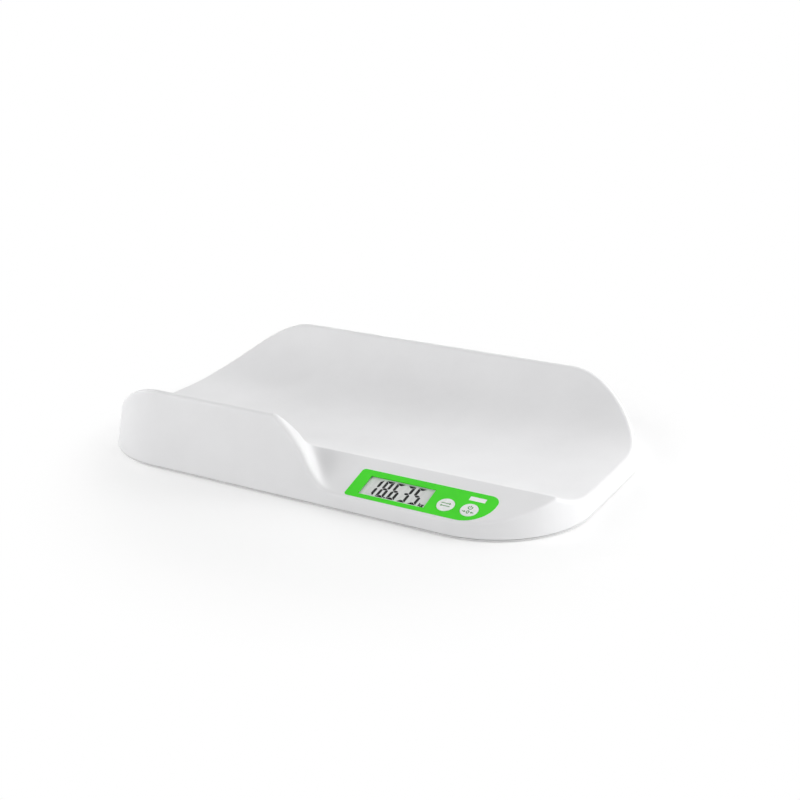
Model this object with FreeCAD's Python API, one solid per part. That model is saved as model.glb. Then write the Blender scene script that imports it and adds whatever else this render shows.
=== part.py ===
"""Digital baby weighing scale, millimetres.

X runs along the cradle, -Y is the display side and Z is up. The origin is on the floor, in the middle
of the plan. The upper casing is a cradle, a channel that runs along X, with a high rear rim and a high
front wall that drops in an S to a sloping display ledge. The lower casing carries four load cells, and
each cell's bending tongue stands on a foot.
"""
import FreeCAD, Part
import math
import os

from FreeCAD import Placement, Rotation, Vector

# Casing
LENGTH = 563.0
WIDTH = 333.0
CORNER_RADIUS = 106.0
WALL_DRAFT = 10.0
FLOOR_GAP = 3.0
WALL = 3.0
FORM_HEIGHT = 96.0        # height of the uncut form; the rims end lower, where the cradle meets the wall
RIM_ROUNDING = 4.7

# Cradle: its cross-section is a flat floor that rises towards the rims by a power curve
CRADLE_FLOOR = 18.0
CRADLE_RISE = 72.0
CRADLE_HALF_WIDTH = 152.0
CRADLE_POWER = 4.05
CRADLE_STATIONS = (0.0, 38.0, 70.0, 95.0, 115.0, 131.0, 144.0, 155.0, 166.0)

# Display ledge: a plane that slopes down to the front wall
LEDGE_TILT = 17.5
LEDGE_FRONT_Y = -163.5
LEDGE_FRONT_HEIGHT = 14.0

# Drop from the front wall's crest to the ledge: an S drawn on the sloping front wall by control points
# (x, z), swept inwards in a direction that turns away from the display
DROP_POLES = ((-50.0, 93.0), (-38.0, 90.5), (-20.5, 81.3), (1.0, 65.8), (19.0, 48.0), (28.5, 33.0),
              (37.0, 22.5))
DROP_FOOT = (46.0, 62.0)    # where its last two control points stand, level with the ledge's edge
DROP_TURN = 43.0

# Display panel, in ledge coordinates: x along the ledge, v up its slope, w out of its surface
PANEL_LEFT = 62.5
PANEL_RIGHT = 215.8
PANEL_BOTTOM = 2.5
PANEL_TOP = 44.8
PANEL_SMALL_RADIUS = 4.0
PANEL_TOP_RADIUS = 10.0
PANEL_SWEEP_RADIUS = 31.0
PANEL_THICKNESS = 1.0
PANEL_PROUD = 0.1
FIT_GAP = 0.15

# Display
VIEW_CENTRE = (112.5, 22.5)
VIEW_SIZE = (73.0, 28.6)
LENS_SIZE = (80.0, 35.4)
LENS_THICKNESS = 1.0
GLASS_SIZE = (76.4, 31.8)
GLASS_THICKNESS = 2.2
GLASS_TOP = -2.0
HOLDER_RIM = 1.6
HOLDER_LEDGE = 3.4
STRIP_SIZE = (66.0, 2.6)
STRIP_V = 9.6

# Buttons and bar window
BUTTON_X = {"unit": 167.9, "tare": 193.0}
BUTTON_V = 19.1
BUTTON_DIAMETER = 17.9
BUTTON_HOLE = 18.7
BUTTON_FLANGE = 20.6
BUTTON_PROUD = 0.5
BUTTON_EDGE = 0.4
BUTTON_SKIN = 1.5
BUTTON_STEM = 4.0
BUTTON_TRAVEL = 0.8
PLUNGER_DIAMETER = 3.4
SWITCH_SIZE = 6.0
SWITCH_HEIGHT = 3.8
BAR_CENTRE = (194.5, 35.5)
BAR_SIZE = (17.0, 5.6)
BAR_FLANGE = 1.5

# Circuit board, under the ledge and parallel to it
BOARD_TOP = -7.4
BOARD_THICKNESS = 1.6
BOARD_LEFT = 66.0
BOARD_RIGHT = 212.0
BOARD_BOTTOM = 4.0
BOARD_UPPER = 42.0
BOARD_CHAMFER = (26.0, 20.0)
POST_DIAMETER = 5.0
POST_PLACES = ((69.0, 9.0), (69.0, 37.0), (157.0, 38.0), (208.5, 31.0))
BOARD_SCREW = 2.0
SOCKET_SIZE = (8.0, 7.0, 3.5)
SOCKET_V = 37.5
SOCKET_X = {"battery": 80.0, "front_left": 92.0, "rear_left": 104.0, "rear_right": 116.0,
            "front_right": 128.0}

# Lower casing
BASE_INSET = 4.2
BASE_BOTTOM = 4.0
BASE_TOP = 6.5
BASE_LIP_HEIGHT = 2.5
BASE_LIP_THICKNESS = 2.0
SKIRT_INSET = 0.4         # the skirt shows below the casing's edge, under a narrow dark groove
SKIRT_BOTTOM = 0.8
SKIRT_TOP = 2.2
SKIRT_THICKNESS = 2.0
RIB_HEIGHT = 3.0
RIB_THICKNESS = 1.6
LABEL_RECESS = (110.0, 50.0, 0.6)
LABEL_CENTRE = (60.0, 60.0)

# Casing screws: a pillar of the lower casing under a boss of the upper one
SCREW_PLACES = ((-120.0, -148.0), (30.0, -148.0), (229.0, -121.0), (250.0, 0.0), (-250.0, 0.0),
                (-120.0, 148.0), (10.0, 148.0), (140.0, 148.0), (70.0, 0.0), (-70.0, 0.0))
PILLAR_DIAMETER = 9.0
PILLAR_TOP = 9.5
BOSS_DIAMETER = 8.0
SCREW_SHANK = 2.9
SCREW_HEAD = 5.6
SCREW_HEAD_HEIGHT = 1.6
SCREW_TIP = 15.0
SCREW_SEAT = 7.5

# Feet and load cells
FOOT_PLACES = {"front_left": (-205.0, -85.0), "front_right": (205.0, -85.0),
               "rear_left": (-205.0, 85.0), "rear_right": (205.0, 85.0)}
PAD_DIAMETER = 34.0
PAD_THICKNESS = 2.2
CUP_DIAMETER = 40.0
CUP_BOTTOM = 1.2
CUP_TOP = 4.6
CUP_POST = 12.0
WELL_DIAMETER = 41.2
CELL_SIZE = 38.0
CELL_WINDOW = 26.0
CELL_BOTTOM = 9.0
CELL_THICKNESS = 1.5
TONGUE_SIZE = (24.8, 18.0)
SEAT_OFFSET = 16.6
SEAT_DIAMETER = 4.4
CLAMP_SIZE = (56.0, 40.0)
CLAMP_WINDOW = (34.0, 30.0)
CLAMP_THICKNESS = 2.0
CLAMP_SCREW_OFFSET = 24.5
GAUGE_SIZE = (3.6, 8.0, 0.3)
GAUGE_OFFSET = 14.8
LEAD_NOTCH = 5.0

# Battery bay: four AAA cells side by side, open downwards
BAY_CENTRE = (-80.0, -100.0)
BAY_SIZE = (50.0, 46.0)
BAY_WALL = 1.6
BAY_CEILING = 17.7
BATTERY_DIAMETER = 10.5
BATTERY_LENGTH = 44.5
BATTERY_NUB = (3.8, 0.8)
BATTERY_PITCH = 11.1
BATTERY_AXIS = 12.3
BATTERY_SHIFT = -0.6
CONTACT_THICKNESS = 0.4
CONTACT_SIZE = 8.0
SPRING_RADIUS = 2.6
SPRING_WIRE = 0.6
SPRING_TURNS = 3
SPRING_CORNERS = 6
DOOR_GAP = 0.4
DOOR_BOTTOM = 4.1
DOOR_TOP = 6.0
KNUCKLE_RADIUS = 1.9
HINGE_PIN_RADIUS = 0.8
HINGE_BORE_RADIUS = 1.1
HINGE_EAR = 3.2
HINGE_EAR_DEPTH = 3.9
HINGE_EAR_HEIGHT = 3.7
HINGE_INSET = 3.0
LATCH_SIZE = (12.0, 3.0, 1.2)

# Leads inside the casing: sleeved wires that lie in saddles on the lower casing
LEAD_RADIUS = 1.0
LEAD_LEVEL = CELL_BOTTOM + CELL_THICKNESS + GAUGE_SIZE[2] + LEAD_RADIUS
ARC_SHARE = 0.45
SADDLE_SIZE = (6.0, 3.0, 6.5)
LEAD_ROUTES = {
    "front_right": ((168.0, -80.0, 0.0), (150.0, -75.0, 0.0), (135.0, -81.0, 0.4),
                    (129.0, -95.0, 2.0)),
    "rear_right": ((164.0, 80.0, 0.0), (142.0, 62.0, 0.0), (128.0, 26.0, 0.0), (122.0, -14.0, 0.0),
                   (119.0, -55.0, 0.0), (117.0, -82.0, 0.6), (116.0, -97.0, 2.6)),
    "rear_left": ((-164.0, 80.0, 0.0), (-134.0, 62.0, 0.0), (-84.0, 42.0, 0.0), (-34.0, 34.0, 0.0),
                  (20.0, 34.0, 0.0), (68.0, 22.0, 0.0), (96.0, -14.0, 0.0), (103.0, -58.0, 0.0),
                  (104.0, -82.0, 0.6), (104.2, -97.0, 2.6)),
    "front_left": ((-166.0, -80.0, 0.0), (-144.0, -67.0, 0.0), (-100.0, -58.0, 0.0),
                   (-50.0, -58.0, 0.0), (2.0, -66.0, 0.0), (46.0, -69.0, 0.0), (74.0, -72.0, 0.0),
                   (89.0, -82.0, 0.6), (92.0, -97.0, 2.6)),
    "battery": ((-30.0, -104.0, 0.0), (0.0, -99.0, 0.0), (36.0, -101.0, 0.0), (62.0, -92.0, 0.2),
                (77.0, -97.0, 2.4)),
}
SADDLE_RUNS = (("rear_right", 3), ("rear_right", 4), ("rear_left", 2), ("rear_left", 3), ("rear_left", 5),
               ("rear_left", 7), ("front_left", 2), ("front_left", 3), ("front_left", 5), ("battery", 2))

UP = Vector(0, 0, 1)
DRAFT_SLOPE = math.tan(math.radians(WALL_DRAFT))
LEDGE_SLOPE = math.tan(math.radians(LEDGE_TILT))
LEDGE_ORIGIN = Vector(0, LEDGE_FRONT_Y, FLOOR_GAP + LEDGE_FRONT_HEIGHT)
LEDGE = Placement(LEDGE_ORIGIN, Rotation(Vector(1, 0, 0), LEDGE_TILT))
LEDGE_EDGE_DROP = LEDGE_SLOPE * (LEDGE_FRONT_Y + WIDTH / 2 - LEDGE_FRONT_HEIGHT * DRAFT_SLOPE)
LEDGE_EDGE_Z = LEDGE_ORIGIN.z - LEDGE_EDGE_DROP / (1 - LEDGE_SLOPE * DRAFT_SLOPE)
PANEL_BACK = PANEL_PROUD - PANEL_THICKNESS
LENS_BACK = PANEL_BACK - LENS_THICKNESS
BOARD_BACK = BOARD_TOP - BOARD_THICKNESS


def box(centre_x, centre_y, z0, size_x, size_y, height):
    """Block on the level z0, centred in plan."""
    corner = Vector(centre_x - size_x / 2, centre_y - size_y / 2, z0)
    return Part.makeBox(size_x, size_y, height, corner)


def cylinder(x, y, z0, z1, diameter):
    """Upright cylinder from z0 to z1."""
    return Part.makeCylinder(diameter / 2, z1 - z0, Vector(x, y, z0), UP)


def rounded_wire(x0, x1, y0, y1, radii, z):
    """Rectangle with its own radius at each corner, from lower left anticlockwise."""
    corners = ((x0, y0, 180), (x1, y0, 270), (x1, y1, 0), (x0, y1, 90))
    arcs = []
    for (x, y, start), radius in zip(corners, radii):
        centre = Vector(x + (radius if x == x0 else -radius), y + (radius if y == y0 else -radius), z)
        arcs.append(Part.makeCircle(radius, centre, UP, start, start + 90))
    edges = []
    for index, arc in enumerate(arcs):
        following = arcs[(index + 1) % len(arcs)]
        edges.append(arc)
        edges.append(Part.makeLine(arc.lastVertex(True).Point, following.firstVertex(True).Point))
    return Part.Wire(edges)


def rounded_block(x0, x1, y0, y1, radii, z0, z1):
    """Upright block on a rounded rectangle."""
    return Part.Face(rounded_wire(x0, x1, y0, y1, radii, z0)).extrude(Vector(0, 0, z1 - z0))


def plan_wire(inset, z):
    """Outline of the casing in plan, moved inwards."""
    half_x = LENGTH / 2 - inset
    half_y = WIDTH / 2 - inset
    return rounded_wire(-half_x, half_x, -half_y, half_y, (CORNER_RADIUS - inset,) * 4, z)


def drafted_block(inset, z0, z1):
    """The casing's outer form between two levels, moved inwards."""
    rise = [z - FLOOR_GAP for z in (z0, z1)]
    wires = [plan_wire(inset + up * DRAFT_SLOPE, up + FLOOR_GAP) for up in rise]
    return Part.makeLoft(wires, True, True)


def cradle_point(y, thickness):
    """Point of the cradle's cross-section at y, moved down by a thickness along its normal."""
    share = abs(y) / CRADLE_HALF_WIDTH
    height = FLOOR_GAP + CRADLE_FLOOR + CRADLE_RISE * share ** CRADLE_POWER
    slope = CRADLE_RISE * CRADLE_POWER / CRADLE_HALF_WIDTH * share ** (CRADLE_POWER - 1)
    length = math.hypot(1.0, slope)
    side = math.copysign(1.0, y)
    return Vector(0, y + side * thickness * slope / length, height - thickness / length)


def cradle_space(thickness):
    """Everything above the cradle's surface, or above a surface that lies that much deeper."""
    stations = [-y for y in reversed(CRADLE_STATIONS[1:])] + list(CRADLE_STATIONS)
    points = [cradle_point(y, thickness) for y in stations]
    curve = Part.BSplineCurve()
    curve.interpolate(points)
    top = 2 * FORM_HEIGHT
    lid = Part.makePolygon([points[-1], Vector(0, points[-1].y, top), Vector(0, points[0].y, top), points[0]])
    face = Part.Face(Part.Wire([curve.toShape()] + lid.Edges))
    face.translate(Vector(-LENGTH, 0, 0))
    return face.extrude(Vector(2 * LENGTH, 0, 0))


def wall_point(x, z):
    """Point of the front wall's outer plane."""
    return Vector(x, (z - FLOOR_GAP) * DRAFT_SLOPE - WIDTH / 2, z)


def drop_curve(thickness):
    """The S in the front wall's plane, down to the ledge, moved that much deeper along its normals."""
    stops = DROP_POLES + tuple((x, LEDGE_EDGE_Z) for x in DROP_FOOT)
    poles = []
    for index, (x, z) in enumerate(stops):
        before = stops[max(index - 1, 0)]
        after = stops[min(index + 1, len(stops) - 1)]
        run, fall = after[0] - before[0], before[1] - after[1]
        if x in DROP_FOOT:
            fall = 0.0
        poles.append(wall_point(x, z) - Vector(fall, 0, run) * (thickness / math.hypot(run, fall)))
    curve = Part.BSplineCurve()
    curve.buildFromPoles(poles, False, 3)
    return curve.toShape()


def scoop_space(thickness):
    """What is cut away above the display ledge, or above surfaces that lie that much deeper."""
    drop = drop_curve(thickness)
    foot = drop.lastVertex(True).Point
    ledge = Part.makeLine(foot, Vector(LENGTH, foot.y, foot.z))
    inwards = Vector(-math.tan(math.radians(DROP_TURN)), 1.0, LEDGE_SLOPE)
    before, after = 22.0, 72.0
    line = Part.Wire([drop, ledge])
    line.translate(inwards * -before)
    floor = line.extrude(inwards * (before + after))
    columns = [face.extrude(UP * (2 * FORM_HEIGHT)) for face in floor.Faces]
    return columns[0].fuse(columns[1])


def on_ledge(shape):
    """Move a shape from ledge coordinates to its place."""
    moved = shape.copy()
    moved.Placement = LEDGE.multiply(moved.Placement)
    return moved


def ledge_block(centre, size, w0, w1):
    """Block in ledge coordinates, between two levels, already in its place."""
    return on_ledge(box(centre[0], centre[1], w0, size[0], size[1], w1 - w0))


def ledge_disc(x, v, w0, w1, diameter):
    """Disc in ledge coordinates, already in its place."""
    return on_ledge(cylinder(x, v, w0, w1, diameter))


def panel_block(gap, w0, w1):
    """The panel's outline grown by a gap, between two levels."""
    radii = (PANEL_SMALL_RADIUS, PANEL_SWEEP_RADIUS, PANEL_TOP_RADIUS, PANEL_SMALL_RADIUS)
    grown = [radius + gap for radius in radii]
    return on_ledge(rounded_block(PANEL_LEFT - gap, PANEL_RIGHT + gap, PANEL_BOTTOM - gap, PANEL_TOP + gap,
                                  grown, w0, w1))


def is_sharp(shape, edge):
    """Whether the two faces at an edge meet at an angle."""
    middle = edge.valueAt((edge.FirstParameter + edge.LastParameter) / 2)
    faces = shape.ancestorsOfType(edge, Part.Face)
    normals = [face.normalAt(*face.Surface.parameter(middle)) for face in faces]
    return normals[0].getAngle(normals[1]) > math.radians(8.0)


def casing_form(thickness, bottom):
    """The upper casing's outside, or what lies that much deeper, with its upper edges rounded."""
    form = drafted_block(thickness, bottom, FLOOR_GAP + FORM_HEIGHT)
    form = form.cut(cradle_space(thickness)).cut(scoop_space(thickness / math.cos(math.radians(LEDGE_TILT))))
    upper = [edge for edge in form.Edges if edge.BoundBox.ZMax > FLOOR_GAP + 1.0 and is_sharp(form, edge)]
    return form.makeFillet(RIM_ROUNDING - thickness, upper)


def casing_room():
    """The room inside the upper casing, less the screw bosses and the board's posts."""
    room = casing_form(WALL, FLOOR_GAP - 1.0)
    for x, y in SCREW_PLACES:
        room = room.cut(cylinder(x, y, PILLAR_TOP, 2 * FORM_HEIGHT, BOSS_DIAMETER))
    for x, v in POST_PLACES:
        room = room.cut(ledge_disc(x, v, BOARD_TOP, 0.0, POST_DIAMETER))
    return room


def tray_shell():
    """Upper casing: cradle, rims, front wall and display ledge in one moulding."""
    shell = casing_form(0.0, FLOOR_GAP).cut(casing_room())
    lens_seat = [length + 2 * FIT_GAP for length in LENS_SIZE]
    glass_hole = [length + 4 * FIT_GAP for length in GLASS_SIZE]
    bar_hole = [length + 2 * FIT_GAP for length in BAR_SIZE]
    cuts = [panel_block(FIT_GAP, PANEL_BACK, 5.0),
            ledge_block(VIEW_CENTRE, lens_seat, LENS_BACK, 0.0),
            ledge_block(VIEW_CENTRE, glass_hole, -WALL - 1.0, 0.0),
            ledge_block(BAR_CENTRE, bar_hole, -WALL - 1.0, 0.0)]
    cuts += [ledge_disc(x, BUTTON_V, -WALL - 1.0, 0.0, BUTTON_HOLE) for x in BUTTON_X.values()]
    cuts += [cylinder(x, y, PILLAR_TOP, SCREW_TIP, SCREW_SHANK) for x, y in SCREW_PLACES]
    cuts += [ledge_disc(x, v, BOARD_TOP, -WALL, BOARD_SCREW) for x, v in POST_PLACES]
    for tool in cuts:
        shell = shell.cut(tool)
    return shell


def display_panel():
    """Green printed panel with its window, button holes and bar slot."""
    panel = panel_block(0.0, PANEL_BACK, PANEL_PROUD)
    bar_hole = [length + 2 * FIT_GAP for length in BAR_SIZE]
    panel = panel.cut(ledge_block(VIEW_CENTRE, VIEW_SIZE, PANEL_BACK - 1.0, 1.0))
    panel = panel.cut(ledge_block(BAR_CENTRE, bar_hole, PANEL_BACK - 1.0, 1.0))
    for x in BUTTON_X.values():
        panel = panel.cut(ledge_disc(x, BUTTON_V, PANEL_BACK - 1.0, 1.0, BUTTON_HOLE))
    return panel


def lcd_holder():
    """Frame between board and display cell, with a rim round the cell."""
    outer = [length + 2 * (HOLDER_RIM + FIT_GAP) for length in GLASS_SIZE]
    pocket = [length + 2 * FIT_GAP for length in GLASS_SIZE]
    window = [length - 2 * HOLDER_LEDGE for length in GLASS_SIZE]
    seat = GLASS_TOP - GLASS_THICKNESS
    holder = ledge_block(VIEW_CENTRE, outer, BOARD_TOP, -WALL - 0.2)
    holder = holder.cut(ledge_block(VIEW_CENTRE, pocket, seat, 0.0))
    return holder.cut(ledge_block(VIEW_CENTRE, window, BOARD_TOP - 1.0, 0.0))


def display_pieces():
    """Window, display cell, holder, contact strip, bar window and lamp."""
    seat = GLASS_TOP - GLASS_THICKNESS
    bar_flange = [length + 2 * BAR_FLANGE for length in BAR_SIZE]
    bar = ledge_block(BAR_CENTRE, BAR_SIZE, -WALL, PANEL_PROUD)
    bar = bar.fuse(ledge_block(BAR_CENTRE, bar_flange, -WALL - 1.0, -WALL))
    return {
        "lcd_window": ledge_block(VIEW_CENTRE, LENS_SIZE, LENS_BACK, PANEL_BACK),
        "lcd_glass": ledge_block(VIEW_CENTRE, GLASS_SIZE, seat, GLASS_TOP),
        "lcd_holder": lcd_holder(),
        "contact_strip": ledge_block((VIEW_CENTRE[0], STRIP_V + 3.0), STRIP_SIZE, BOARD_TOP, seat),
        "indicator_window": bar.removeSplitter(),
        "indicator_led": ledge_block(BAR_CENTRE, (3.5, 2.8), BOARD_TOP, BOARD_TOP + 1.2),
    }


def button(x):
    """Round cap with a flange under the casing and a stem on its switch."""
    skin_back = BUTTON_PROUD - BUTTON_SKIN
    stem_end = BOARD_TOP + SWITCH_HEIGHT + BUTTON_TRAVEL + 0.2
    cap = cylinder(x, BUTTON_V, -WALL - 1.0, BUTTON_PROUD, BUTTON_DIAMETER)
    top = [edge for edge in cap.Edges if edge.BoundBox.ZMin > BUTTON_PROUD - 0.01]
    cap = cap.makeFillet(BUTTON_EDGE, top)
    cap = cap.fuse(cylinder(x, BUTTON_V, -WALL - 1.0, -WALL, BUTTON_FLANGE))
    cap = cap.cut(cylinder(x, BUTTON_V, -WALL - 2.0, skin_back, BUTTON_DIAMETER - 2 * BUTTON_SKIN))
    cap = cap.fuse(cylinder(x, BUTTON_V, stem_end, skin_back, BUTTON_STEM))
    return on_ledge(cap.removeSplitter())


def switch_pieces(x):
    """Case and plunger of the switch under a button."""
    top = BOARD_TOP + SWITCH_HEIGHT
    stem_end = top + BUTTON_TRAVEL + 0.2
    bore_floor = BOARD_TOP + 1.0
    case = ledge_block((x, BUTTON_V), (SWITCH_SIZE, SWITCH_SIZE), BOARD_TOP, top)
    case = case.cut(ledge_disc(x, BUTTON_V, bore_floor, top, PLUNGER_DIAMETER + 0.7))
    plunger = ledge_disc(x, BUTTON_V, bore_floor + BUTTON_TRAVEL + 0.3, stem_end, PLUNGER_DIAMETER)
    return case, plunger


def control_board():
    """Circuit board, with its corner cut to follow the casing."""
    cut_x, cut_v = BOARD_CHAMFER
    corners = [(BOARD_LEFT, BOARD_BOTTOM), (BOARD_RIGHT - cut_x, BOARD_BOTTOM),
               (BOARD_RIGHT, BOARD_BOTTOM + cut_v), (BOARD_RIGHT, BOARD_UPPER), (BOARD_LEFT, BOARD_UPPER)]
    outline = Part.makePolygon([Vector(x, v, BOARD_BACK) for x, v in corners + corners[:1]])
    board = on_ledge(Part.Face(outline).extrude(Vector(0, 0, BOARD_THICKNESS)))
    for x, v in POST_PLACES:
        board = board.cut(ledge_disc(x, v, BOARD_BACK - 1.0, BOARD_TOP + 1.0, BOARD_SCREW + 0.4))
    return board


def board_screws():
    """Four screws that hold the board on the casing's posts."""
    screws = []
    for x, v in POST_PLACES:
        head = cylinder(x, v, BOARD_BACK - 1.4, BOARD_BACK, 2 * BOARD_SCREW + 0.2)
        shank = cylinder(x, v, BOARD_BACK, -WALL - 0.8, BOARD_SCREW)
        slot = box(x, v, BOARD_BACK - 1.4, 2.6, 0.6, 0.7)
        screws.append(on_ledge(head.fuse(shank).removeSplitter().cut(slot)))
    return Part.makeCompound(screws)


def wire_sockets():
    """Sockets on the back of the board, one for each lead."""
    size_x, size_v, height = SOCKET_SIZE
    sockets = []
    for x in SOCKET_X.values():
        sockets.append(ledge_block((x, SOCKET_V), (size_x, size_v), BOARD_BACK - height, BOARD_BACK))
    return Part.makeCompound(sockets)


def chip_cover():
    """Flat domed resin drop over the chip."""
    drop = cylinder(130.0, 20.0, BOARD_BACK - 1.6, BOARD_BACK, 13.0)
    face = [edge for edge in drop.Edges if edge.BoundBox.ZMax < BOARD_BACK - 1.5]
    return on_ledge(drop.makeFillet(1.2, face))


def quartz_can():
    """Oscillator can on the back of the board."""
    can = rounded_block(98.0, 109.0, 19.0, 23.5, (2.2,) * 4, BOARD_BACK - 3.2, BOARD_BACK)
    return on_ledge(can)


def screw_seat(x, y):
    """Hole and counterbore of one casing screw in the lower casing."""
    hole = cylinder(x, y, BASE_BOTTOM - 1.0, PILLAR_TOP + 1.0, SCREW_SHANK + 0.5)
    return hole.fuse(cylinder(x, y, BASE_BOTTOM - 1.0, SCREW_SEAT, SCREW_HEAD + 0.8))


def foot_well(x, y):
    """What the lower casing adds at one foot: a collar, four seats and two clamp posts."""
    collar = cylinder(x, y, BASE_TOP, CELL_BOTTOM - 1.0, WELL_DIAMETER + 4.0)
    well = collar.cut(cylinder(x, y, BASE_TOP - 1.0, CELL_BOTTOM, WELL_DIAMETER))
    for side_x in (-1, 1):
        for side_y in (-1, 1):
            seat_x, seat_y = x + side_x * SEAT_OFFSET, y + side_y * SEAT_OFFSET
            well = well.fuse(cylinder(seat_x, seat_y, BASE_TOP - 0.5, CELL_BOTTOM, SEAT_DIAMETER))
        post_x = x + side_x * CLAMP_SCREW_OFFSET
        post = cylinder(post_x, y, BASE_TOP - 0.5, CELL_BOTTOM + CELL_THICKNESS, 5.0)
        well = well.fuse(post)
    return well


def battery_bay():
    """Walls and ceiling of the battery bay, and the ears of its door's hinge."""
    x, y = BAY_CENTRE
    outer = [length + 2 * BAY_WALL for length in BAY_SIZE]
    bay = box(x, y, BASE_BOTTOM, outer[0], outer[1], BAY_CEILING + BAY_WALL - BASE_BOTTOM)
    bay = bay.cut(box(x, y, BASE_BOTTOM - 1.0, BAY_SIZE[0], BAY_SIZE[1], BAY_CEILING - BASE_BOTTOM + 1.0))
    axis_y, axis_z = hinge_axis()
    for side in (-1, 1):
        ear_x = x + side * (BAY_SIZE[0] / 2 - HINGE_INSET - HINGE_EAR / 2)
        ear_y = y + (BAY_SIZE[1] - HINGE_EAR_DEPTH) / 2 + 0.1
        ear = box(ear_x, ear_y, DOOR_BOTTOM, HINGE_EAR, HINGE_EAR_DEPTH, HINGE_EAR_HEIGHT)
        ear = ear.cut(Part.makeCylinder(HINGE_BORE_RADIUS, 2 * HINGE_EAR,
                                        Vector(ear_x - HINGE_EAR, axis_y, axis_z), Vector(1, 0, 0)))
        bay = bay.fuse(ear)
    return bay


def hinge_axis():
    """Place of the battery door's hinge, as y and z."""
    rear_edge = BAY_CENTRE[1] + BAY_SIZE[1] / 2
    return rear_edge - DOOR_GAP - KNUCKLE_RADIUS, DOOR_TOP


def saddle(name, run):
    """Post with a groove in which a lead lies, under the middle of one of its straight runs."""
    width, length, height = SADDLE_SIZE
    start, end = lead_route(name)[run - 1:run + 1]
    middle = (start + end) / 2
    angle = math.degrees(math.atan2(end.y - start.y, end.x - start.x))
    post = box(0, 0, BASE_TOP - 0.5, length, width, height)
    groove = box(0, 0, LEAD_LEVEL - LEAD_RADIUS, 2 * length, 2 * LEAD_RADIUS + 0.3, height)
    post = post.cut(groove)
    post.Placement = Placement(Vector(middle.x, middle.y, 0), Rotation(UP, angle))
    return post


def base_cover():
    """Lower casing: plate, skirt, lip, ribs, foot wells, screw pillars, battery bay and lead saddles."""
    def slab(inset, z0, z1):
        return Part.Face(plan_wire(inset, z0)).extrude(Vector(0, 0, z1 - z0))

    lip_inset = BASE_INSET + 3.0
    plate = slab(BASE_INSET, BASE_BOTTOM, BASE_TOP)
    lip = slab(lip_inset, BASE_TOP - 0.5, BASE_TOP + BASE_LIP_HEIGHT)
    lip = lip.cut(slab(lip_inset + BASE_LIP_THICKNESS, BASE_TOP - 1.0, BASE_TOP + 2 * BASE_LIP_HEIGHT))
    skirt = slab(SKIRT_INSET, SKIRT_BOTTOM, SKIRT_TOP).fuse(slab(BASE_INSET, SKIRT_BOTTOM, BASE_BOTTOM + 0.5))
    skirt = skirt.cut(slab(BASE_INSET + SKIRT_THICKNESS, SKIRT_BOTTOM - 1.0, BASE_TOP))
    cover = plate.fuse(lip).fuse(skirt)
    for y in (-30.0, 30.0):
        cover = cover.fuse(box(0, y, BASE_TOP - 0.5, 460.0, RIB_THICKNESS, RIB_HEIGHT))
    for x in (-150.0, 0.0, 150.0):
        cover = cover.fuse(box(x, 0, BASE_TOP - 0.5, RIB_THICKNESS, 290.0 if x == 0.0 else 260.0, RIB_HEIGHT))
    for x, y in SCREW_PLACES:
        cover = cover.fuse(cylinder(x, y, BASE_TOP - 0.5, PILLAR_TOP, PILLAR_DIAMETER))
    for place in FOOT_PLACES.values():
        cover = cover.fuse(foot_well(*place))
    for name, run in SADDLE_RUNS:
        cover = cover.fuse(saddle(name, run))
    x, y = BAY_CENTRE
    cover = cover.cut(box(x, y, BASE_BOTTOM - 1.0, BAY_SIZE[0], BAY_SIZE[1], 10.0))
    cover = cover.fuse(battery_bay())
    notch = [LATCH_SIZE[0] + 2 * DOOR_GAP, LATCH_SIZE[1] + DOOR_GAP]
    front_edge = y - BAY_SIZE[1] / 2
    notch_y = front_edge - notch[1] / 2 + 0.5
    cover = cover.cut(box(x, notch_y, BASE_BOTTOM - 1.0, notch[0], notch[1] + 1.0, 2.7))
    for x, y in SCREW_PLACES:
        cover = cover.cut(screw_seat(x, y))
    for x, y in FOOT_PLACES.values():
        cover = cover.cut(cylinder(x, y, BASE_BOTTOM - 1.0, BASE_TOP + 1.0, WELL_DIAMETER))
        for side in (-1, 1):
            post_x = x + side * CLAMP_SCREW_OFFSET
            cover = cover.cut(cylinder(post_x, y, BASE_TOP, CELL_BOTTOM + 4.0, 2.0))
    size_x, size_y, depth = LABEL_RECESS
    cover = cover.cut(box(LABEL_CENTRE[0], LABEL_CENTRE[1], BASE_BOTTOM - 1.0, size_x, size_y, depth + 1.0))
    return cover.removeSplitter()


def case_screws():
    """Screws from below through the lower casing into the upper one's bosses."""
    screws = []
    for x, y in SCREW_PLACES:
        head = cylinder(x, y, SCREW_SEAT - SCREW_HEAD_HEIGHT, SCREW_SEAT, SCREW_HEAD)
        shank = cylinder(x, y, SCREW_SEAT, SCREW_TIP, SCREW_SHANK)
        bottom = SCREW_SEAT - SCREW_HEAD_HEIGHT
        cross = box(x, y, bottom, 3.2, 0.8, 1.0).fuse(box(x, y, bottom, 0.8, 3.2, 1.0))
        screws.append(head.fuse(shank).removeSplitter().cut(cross))
    return Part.makeCompound(screws)


def inward(x):
    """Direction along X from a foot towards the middle of the scale."""
    return -1.0 if x > 0 else 1.0


def load_cell(x, y):
    """Steel frame of a load cell, round the window in which its tongue bends."""
    frame = box(x, y, CELL_BOTTOM, CELL_SIZE, CELL_SIZE, CELL_THICKNESS)
    return frame.cut(box(x, y, CELL_BOTTOM - 1.0, CELL_WINDOW, CELL_WINDOW, CELL_THICKNESS + 2.0))


def cell_tongue(x, y):
    """Bending tongue of a load cell: the part that the foot carries."""
    return box(x, y, CELL_BOTTOM, TONGUE_SIZE[0], TONGUE_SIZE[1], CELL_THICKNESS)


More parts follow.
